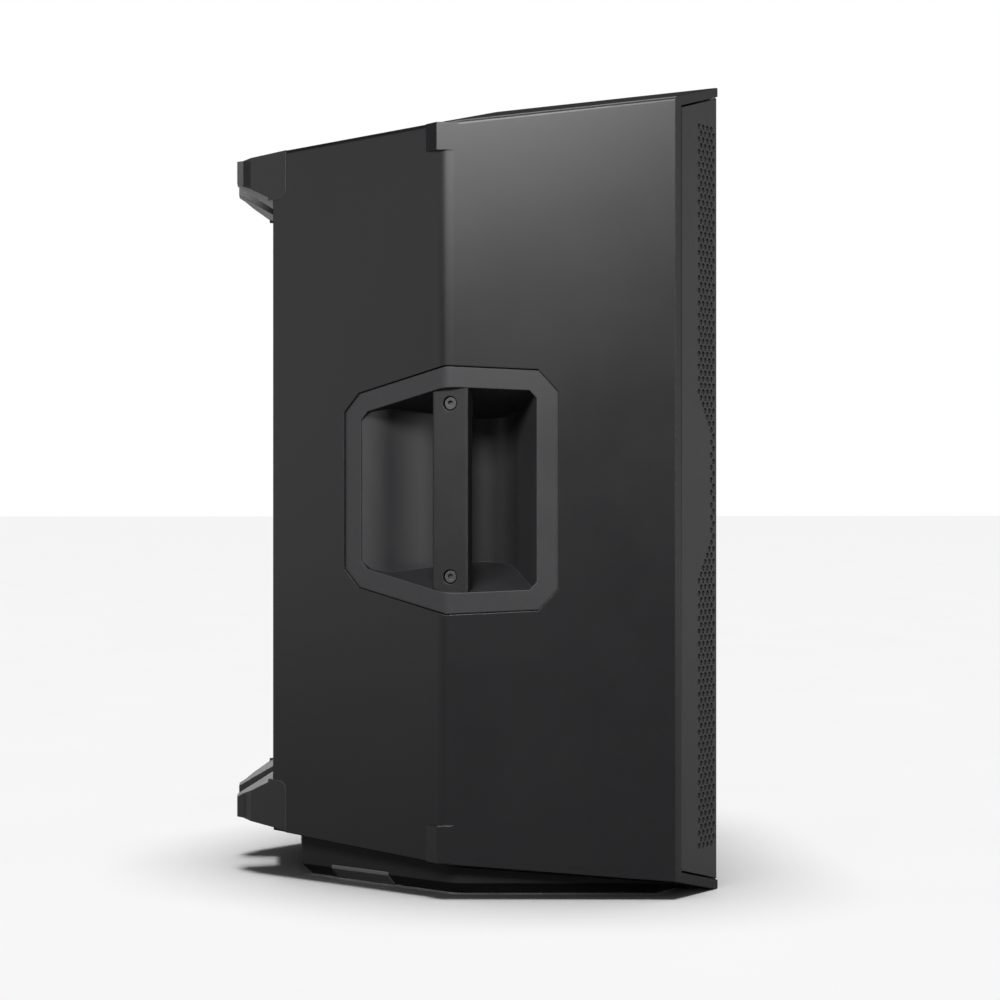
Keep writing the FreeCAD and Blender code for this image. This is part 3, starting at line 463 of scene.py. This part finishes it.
for side, sign in (("left", 1), ("right", -1)):
    wing = mergedCopy("grille", "grille_wing_" + side)
    keepSide(wing, (-sign * foldX * mm, 0, 0), (sign, 0, 0))
    field = punches("wing_punches", grille["wingColumns"], grille["firstHoleMm"], grille["pitchMm"] / 2)
    dropPunches(field, lambda run, z: not waistLimit(z) <= run <= wingEnd or z > aboveTopRow)
    field.rotation_euler = (0, 0, wingTurn)
    field.location = (grille["wingStart"][0] * mm, grille["wingStart"][1] * mm, 0)
    selectOnly(field)
    bpy.ops.object.transform_apply(location=True, rotation=True, scale=True)
    if sign < 0:
        field.scale = (-1, 1, 1)
        bpy.ops.object.transform_apply(location=True, rotation=True, scale=True)
        bpy.ops.object.mode_set(mode="EDIT")
        bpy.ops.mesh.select_all(action="SELECT")
        bpy.ops.mesh.normals_make_consistent(inside=False)
        bpy.ops.object.mode_set(mode="OBJECT")
    punched(wing, field)

columns = int((2 * foldX - grille["edgeMarginMm"]) // grille["pitchMm"])
firstColumn = -(columns - 1) * grille["pitchMm"] / 2
partings = [grille["lowRowMm"] + grille["rowMm"] * (row - 0.5) for row in grille["bandRows"]]
cuts = [0.0] + partings + [grille["aboveTopMm"]]
for band in range(len(cuts) - 1):
    sheet = mergedCopy("grille", "grille_front_%d" % (band + 1))
    keepSide(sheet, (foldX * mm, 0, 0), (1, 0, 0))
    keepSide(sheet, (-foldX * mm, 0, 0), (-1, 0, 0))
    if band < len(partings):
        keepSide(sheet, (0, 0, cuts[band + 1] * mm), (0, 0, 1))
    if band > 0:
        keepSide(sheet, (0, 0, cuts[band] * mm), (0, 0, -1))
    field = punches("front_punches", columns, firstColumn - grille["pitchMm"] / 4, grille["pitchMm"] / 2)
    dropPunches(field, lambda run, z: not cuts[band] < z < cuts[band + 1] or z > aboveTopRow)
    field.location = (0, grille["fold"][1] * mm, 0)
    selectOnly(field)
    bpy.ops.object.transform_apply(location=True, rotation=True, scale=True)
    punched(sheet, field)
    print("grille band", band + 1, "faces", len(sheet.data.polygons))
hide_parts("grille")
print("grille punched")


# hand pockets: the foot of the back wall is eased, by as much as its shortest arc edge allows

pocket = {"easeMm": 8.0, "footBelowMm": 288.5, "deeperThanMm": 185.0, "beforeMm": 75.0,
          "levelShare": 0.4, "flatDegrees": 0.5, "smoothDegrees": 25.0}


def pocketFoot(a, b, normals):
    # an inside corner low in the pocket, between the sloping floor and an upright wall
    level = abs(a.z - b.z) <= pocket["levelShare"] * (a - b).length
    low = max(a.z, b.z) < pocket["footBelowMm"] * mm
    middle = (a + b) / 2
    deep = abs(middle.x) < pocket["deeperThanMm"] * mm and middle.y < pocket["beforeMm"] * mm
    floorFaces = sum(n.z > 0.9 for n in normals)
    wallFaces = sum(abs(n.z) < 0.1 for n in normals)
    return level and low and deep and floorFaces == 1 and wallFaces == 1 and sum(n.z for n in normals) > 0


for side in ("left", "right"):
    cup = mergedCopy("handle_cup_" + side, "hand_pocket_" + side)
    bpy.ops.object.mode_set(mode="EDIT")
    bpy.ops.mesh.select_mode(type="EDGE")
    bpy.ops.mesh.select_all(action="SELECT")
    bpy.ops.mesh.dissolve_limited(angle_limit=math.radians(pocket["flatDegrees"]))
    bpy.ops.mesh.select_all(action="DESELECT")
    bpy.ops.object.mode_set(mode="OBJECT")
    faceNormals = {}
    for face in cup.data.polygons:
        for key in face.edge_keys:
            faceNormals.setdefault(key, []).append(face.normal)
    for edge in cup.data.edges:
        normals = faceNormals.get(tuple(sorted(edge.vertices)), [])
        a, b = (cup.data.vertices[i].co for i in edge.vertices)
        if len(normals) == 2 and pocketFoot(a, b, normals):
            edge.select = True
    bpy.ops.object.mode_set(mode="EDIT")
    bpy.ops.mesh.bevel(offset=pocket["easeMm"] * mm, segments=1, clamp_overlap=True)
    bpy.ops.object.mode_set(mode="OBJECT")
    selectOnly(cup)
    bpy.ops.object.shade_smooth_by_angle(angle=math.radians(pocket["smoothDegrees"]))
    giveFinish(cup, "handle_plastic")
    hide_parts("handle_cup_" + side)
print("hand pockets shaped")


# foam lining behind the grille

foam = mergedCopy("grille_foam", "foam_lining")
giveFinish(foam, "foam")
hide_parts("grille_foam")
print("foam lining made")


# floor, light and camera

studio = {
    "floorHex": "#ffffff", "floorDustHex": "#fcfcfc", "dustScale": 3.0, "floorSize": 80.0,
    "backdropHex": "#ffffff", "fillHex": "#ffffff", "fillStrength": 0.08,
    "sunPower": 2.75, "sunSpreadDegrees": 25.0,
    # place, aim, width, height and power of each softbox
    "key": ((-2.36, 0.80, 1.68), (-0.2, 0.0, 0.45), 2.0, 0.70, 370.0),
    "rear": ((-0.65, 2.7, 0.7), (-0.1, 0.1, 0.4), 1.9, 1.9, 26.0),
    "front": ((-0.2, -2.8, 0.8), (0.0, -0.1, 0.4), 1.6, 1.6, 15.0),
    "back": ((2.6, 1.2, 1.4), (0.0, 0.0, 0.4), 1.4, 1.4, 30.0),
    "pocket": ((-1.73, -1.35, 0.5), (-0.15, 0.05, 0.35), 0.8, 0.8, 34.0),
}

bpy.ops.mesh.primitive_plane_add(size=studio["floorSize"], location=(0, 0, 0))
floor = bpy.context.active_object
floor.name = "studio_floor"
floorMaterial, tree, floorPlace = startMaterial("matteStudioFloor")
dust = addNode(tree, "ShaderNodeTexNoise", {"Scale": studio["dustScale"], "Detail": 3.0},
               {"Vector": floorPlace}).outputs[0]
paper = blendColours(tree, dust, {"dark": studio["floorHex"], "light": studio["floorDustHex"]})
finishMaterial(tree, {"Roughness": 0.9, "Specular IOR Level": 0.1}, {"Base Color": paper})
floor.data.materials.append(floorMaterial)

# the softboxes light only the loudspeaker, so that the floor stays even
lit = bpy.data.collections.new("lit_pieces")
for piece in bpy.context.scene.objects:
    if piece.type == "MESH" and piece != floor:
        lit.objects.link(piece)

for name in ("key", "rear", "front", "back", "pocket"):
    place, aim, width, height, power = studio[name]
    light = bpy.data.lights.new(name + "_softbox", "AREA")
    light.shape = "RECTANGLE"
    light.size = width
    light.size_y = height
    light.energy = power
    lamp = bpy.data.objects.new(name + "_softbox", light)
    lamp.location = place
    lamp.rotation_euler = (Vector(aim) - Vector(place)).to_track_quat("-Z", "Y").to_euler()
    lamp.visible_camera = False
    lamp.light_linking.receiver_collection = lit
    bpy.context.scene.collection.objects.link(lamp)

# an even light from straight above keeps the floor white to its far edge
sunLight = bpy.data.lights.new("overhead_sun", "SUN")
sunLight.energy = studio["sunPower"]
sunLight.angle = math.radians(studio["sunSpreadDegrees"])
bpy.context.scene.collection.objects.link(bpy.data.objects.new("overhead_sun", sunLight))

world = bpy.data.worlds.new("studio_air")
world.use_nodes = True
tree = world.node_tree
tree.nodes.clear()
shown = addNode(tree, "ShaderNodeBackground", {"Color": linear(studio["backdropHex"])}).outputs[0]
fill = addNode(tree, "ShaderNodeBackground",
               {"Color": linear(studio["fillHex"]), "Strength": studio["fillStrength"]}).outputs[0]
direct = addNode(tree, "ShaderNodeLightPath").outputs["Is Camera Ray"]
air = addNode(tree, "ShaderNodeMixShader", None, {0: direct, 1: fill, 2: shown}).outputs[0]
addNode(tree, "ShaderNodeOutputWorld", None, {"Surface": air})
bpy.context.scene.world = world

lens = {"place": (-1.896, 0.162, 0.340), "turnDegrees": -96.0, "focalMm": 72.0, "sensorMm": 36.0}
cameraData = bpy.data.cameras.new("main_camera")
cameraData.lens = lens["focalMm"]
cameraData.sensor_width = lens["sensorMm"]
camera = bpy.data.objects.new("main_camera", cameraData)
camera.location = lens["place"]
camera.rotation_euler = (math.pi / 2, 0, math.radians(lens["turnDegrees"]))
bpy.context.scene.collection.objects.link(camera)
bpy.context.scene.camera = camera
bpy.context.scene.view_settings.view_transform = "Standard"
print("stage set")
